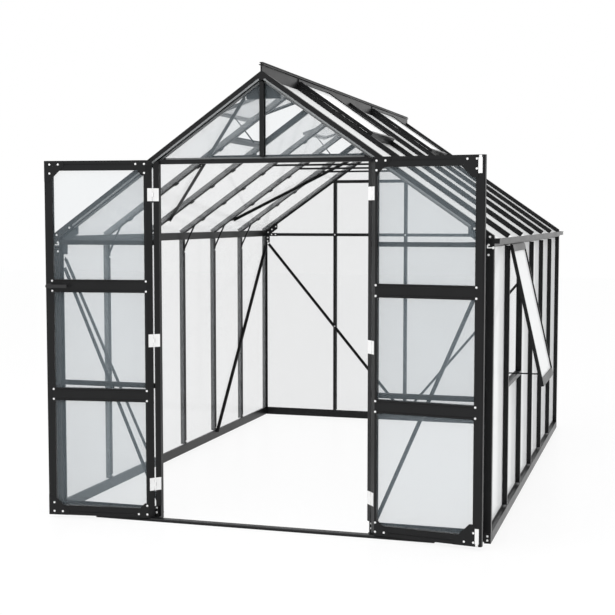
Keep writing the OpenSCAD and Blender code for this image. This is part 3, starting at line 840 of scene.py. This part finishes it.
@dataclass
class GlazingClips:
    """Black plastic clips that hold the roof's panes against the bars."""

    sizes: HouseSizes = field(default_factory=HouseSizes)
    length: float = 0.030
    width: float = 0.009
    height: float = 0.008
    # Shares of the width, and of the height for the hollow
    ease_share: float = 0.22
    rim_share: float = 0.14
    hollow_share: float = 0.15
    # Least Z of the flat top's normal, which leaves out its bevels
    flat_z: float = 0.99
    # Distances from the top, on every bar and on the bar between the vents' bays
    roof_runs: tuple[float, ...] = (0.62, 0.80, 0.98, 1.16, 1.36)
    plain_runs: tuple[float, float] = (0.22, 0.42)
    plain_bar: int = 3

    def model(self) -> bpy.types.Object:
        """Models one clip: a bevelled block with a pressed hollow on top.

        Returns:
            The clip, in object mode.
        """
        clip = Workbench.block((self.length, self.width, self.height),
                               self.width * self.ease_share)
        Workbench.pick_top(clip, self.flat_z)
        bpy.ops.mesh.inset(thickness=self.width * self.rim_share)
        bpy.ops.transform.translate(value=(0.0, 0.0, -self.height * self.hollow_share))
        bpy.ops.object.mode_set(mode="OBJECT")
        return clip

    def bar_spots(self, turn: Matrix, runs: Sequence[float],
                  bars: Sequence[int]) -> Iterator[Spot]:
        """Finds the clips along the bars of one slope.

        Args:
            turn: The slope's own axes.
            runs: Distances of the clips from the top.
            bars: Numbers of the bars.

        Returns:
            The clips' places, on both faces of the panes and both sides of the bars.
        """
        house = self.sizes
        turned = turn.to_3x3()
        # The left slope's own Y points to the front of the house
        flip = 1.0 if turned.col[1].y > 0.0 else -1.0
        side_in = house.cap_w / 2 + self.width / 2
        for number in bars:
            for run in runs:
                for way in (-1.0, 1.0):
                    across = flip * (house.bar_y(number) + way * side_in)
                    for depth, out in ((house.pane_out, 1.0), (house.pane_in, -1.0)):
                        at = turn @ Vector((run, across, -depth))
                        yield Spot(at, turned @ Vector((0.0, 0.0, out)),
                                   turned @ Vector((1.0, 0.0, 0.0)))

    def build(self, finish: bpy.types.Material) -> None:
        """Models the clips and fixes them to the house.

        Args:
            finish: The clips' material.
        """
        bars = range(1, self.sizes.bays_long)
        for side in Side:
            turn = self.sizes.slope_turn(side)
            spots = [*self.bar_spots(turn, self.roof_runs, bars),
                     *self.bar_spots(turn, self.plain_runs, (self.plain_bar,))]
            Workbench.spread(self.model(), spots, f"{side.name.lower()}_roof_clips", finish,
                             "black_plastic", "house")


@dataclass
class GlassLaps:
    """Thin pale strips that stand for the gable panes' edges on rafters and lintel."""

    sizes: HouseSizes = field(default_factory=HouseSizes)
    width: float = 0.0096
    thick: float = 0.0015
    ease_share: float = 0.3
    rafter_from: float = 0.014
    rafter_to: float = 1.150
    # Depths of the strips' middles below the roof, on the rafter's face and on its outer fin
    face_below: float = 0.0305
    fin_below: float = 0.0410
    lintel_half: float = 0.572

    def model(self, length: float) -> bpy.types.Object:
        """Models one strip of that length."""
        return Workbench.block((length, self.width, self.thick), self.thick * self.ease_share)

    def rafter_spots(self) -> Iterator[Spot]:
        """Finds the strips along the gable rafters.

        Returns:
            The places of the strips' middles, on both gables.
        """
        house = self.sizes
        middle = (self.rafter_from + self.rafter_to) / 2
        for gable in Gable:
            out = Vector((0.0, -float(gable.value), 0.0))
            for side in Side:
                along = Vector((side.value * math.cos(house.pitch), 0.0, -math.sin(house.pitch)))
                for below, seat in ((self.face_below, 0.0), (self.fin_below, house.lip_d)):
                    at = Vector((side.value * middle, house.gable_y(gable, seat),
                                 house.roof_z(middle, below)))
                    yield Spot(at, out, along)

    def build(self, finish: bpy.types.Material) -> None:
        """Models the strips and fixes them to the house.

        Args:
            finish: The strips' material.
        """
        house = self.sizes
        slope_l = (self.rafter_to - self.rafter_from) / math.cos(house.pitch)
        Workbench.spread(self.model(slope_l), [*self.rafter_spots()], "rafter_glass_laps", finish,
                         "glass", "house")
        at = Vector((0.0, house.gable_y(Gable.FRONT, house.lip_d),
                     house.lintel_top_z + (house.fin_end - house.wall_d) / 2))
        lintel = Spot(at, Vector((0.0, -1.0, 0.0)), Vector((1.0, 0.0, 0.0)))
        Workbench.spread(self.model(2.0 * self.lintel_half), [lintel], "lintel_glass_lap", finish,
                         "glass", "house")


@dataclass
class VentStops:
    """Small stops on the ridge, at the front ends of the roof vents."""

    sizes: HouseSizes = field(default_factory=HouseSizes)
    height: float = 0.028
    width: float = 0.008
    depth: float = 0.006
    ease_share: float = 0.3
    ease_steps: int = 2
    above_apex: float = 0.011
    past_bar: float = 0.009

    def model(self) -> bpy.types.Object:
        """Models one stop: a block with a rounded outer end."""
        return Workbench.block((self.height, self.width, self.depth),
                               self.depth * self.ease_share, self.ease_steps)

    def build(self, finish: bpy.types.Material) -> None:
        """Models the stops and fixes them to the ridge.

        Args:
            finish: The stops' material.
        """
        house = self.sizes
        spots = []
        for side in Side:
            for bay in house.vent_bays:
                at = Vector((side.value * house.ridge_half, house.bar_y(bay) + self.past_bar,
                             house.apex_z + self.above_apex))
                spots.append(Spot(at, Vector((float(side.value), 0.0, 0.0))))
        Workbench.spread(self.model(), spots, "vent_stops", finish, "frame_coat", "house")


@dataclass
class Studio:
    """Camera, floor and light of a plain white studio."""

    camera_at: tuple[float, float, float] = (2.162, -6.283, 1.712)
    yaw: float = math.radians(16.69)
    pitch: float = math.radians(4.16)
    lens_mm: float = 71.27
    sensor_mm: float = 36.0
    floor_half: float = 30.0
    floor_drop: float = 0.0005
    world_light: float = 0.96
    key_power: float = 260.0
    key_size: float = 6.0
    key_at: tuple[float, float, float] = (-1.0, -2.0, 7.0)
    key_aim: tuple[float, float, float] = (0.3, 1.8, 0.5)

    def add_camera(self) -> None:
        """Sets the camera at the photograph's viewpoint."""
        data = bpy.data.cameras.new("camera")
        data.lens = self.lens_mm
        data.sensor_width = self.sensor_mm
        camera = bpy.data.objects.new("camera", data)
        camera.location = self.camera_at
        camera.rotation_euler = (math.pi / 2 - self.pitch, 0.0, self.yaw)
        bpy.context.scene.collection.objects.link(camera)
        bpy.context.scene.camera = camera

    def add_floor(self) -> None:
        """Lays the floor under the house."""
        Workbench.clear()
        bpy.ops.mesh.primitive_plane_add(size=2.0 * self.floor_half,
                                         location=(0.0, 0.0, -self.floor_drop))
        bpy.ops.object.transform_apply(location=True, rotation=True, scale=True)
        floor = bpy.context.object
        floor.name = "studio_floor"
        floor.data.materials.append(StudioFloor().build())

    def add_light(self) -> None:
        """Lights the house from all round, with a soft key light from above."""
        world = bpy.data.worlds.new("white_studio")
        bpy.context.scene.world = world
        graph = Graph(world)
        strength = self.world_light + graph.seen_directly() * (1.0 - self.world_light)
        inputs = {"Color": WHITE, "Strength": strength}
        graph.close(graph.node("ShaderNodeBackground", None, inputs), "World")
        data = bpy.data.lights.new("key", "AREA")
        data.energy = self.key_power
        data.size = self.key_size
        key = bpy.data.objects.new("key", data)
        key.location = self.key_at
        aim = Vector(self.key_aim) - Vector(self.key_at)
        key.rotation_euler = aim.to_track_quat("-Z", "Y").to_euler()
        bpy.context.scene.collection.objects.link(key)

    def build(self) -> None:
        """Sets up the camera, the floor and the light."""
        bpy.context.scene.view_settings.view_transform = "Standard"
        self.add_camera()
        self.add_floor()
        self.add_light()
        LOG.info("studio ready")


def main() -> None:
    """Builds the looks around the frame, piece by piece."""
    logging.basicConfig(level=logging.INFO, format="%(name)s: %(message)s")
    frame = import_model()
    finishes = Finishes()
    finishes.dress_nodes(frame)
    for side in Side:
        DoorBolts(side).build(finishes.zinc)
    HouseBolts().build(finishes.zinc)
    GlazingClips().build(finishes.black)
    GlassLaps().build(finishes.bedded_glass)
    VentStops().build(finishes.coat)
    Studio().build()


if __name__ == "__main__":
    main()
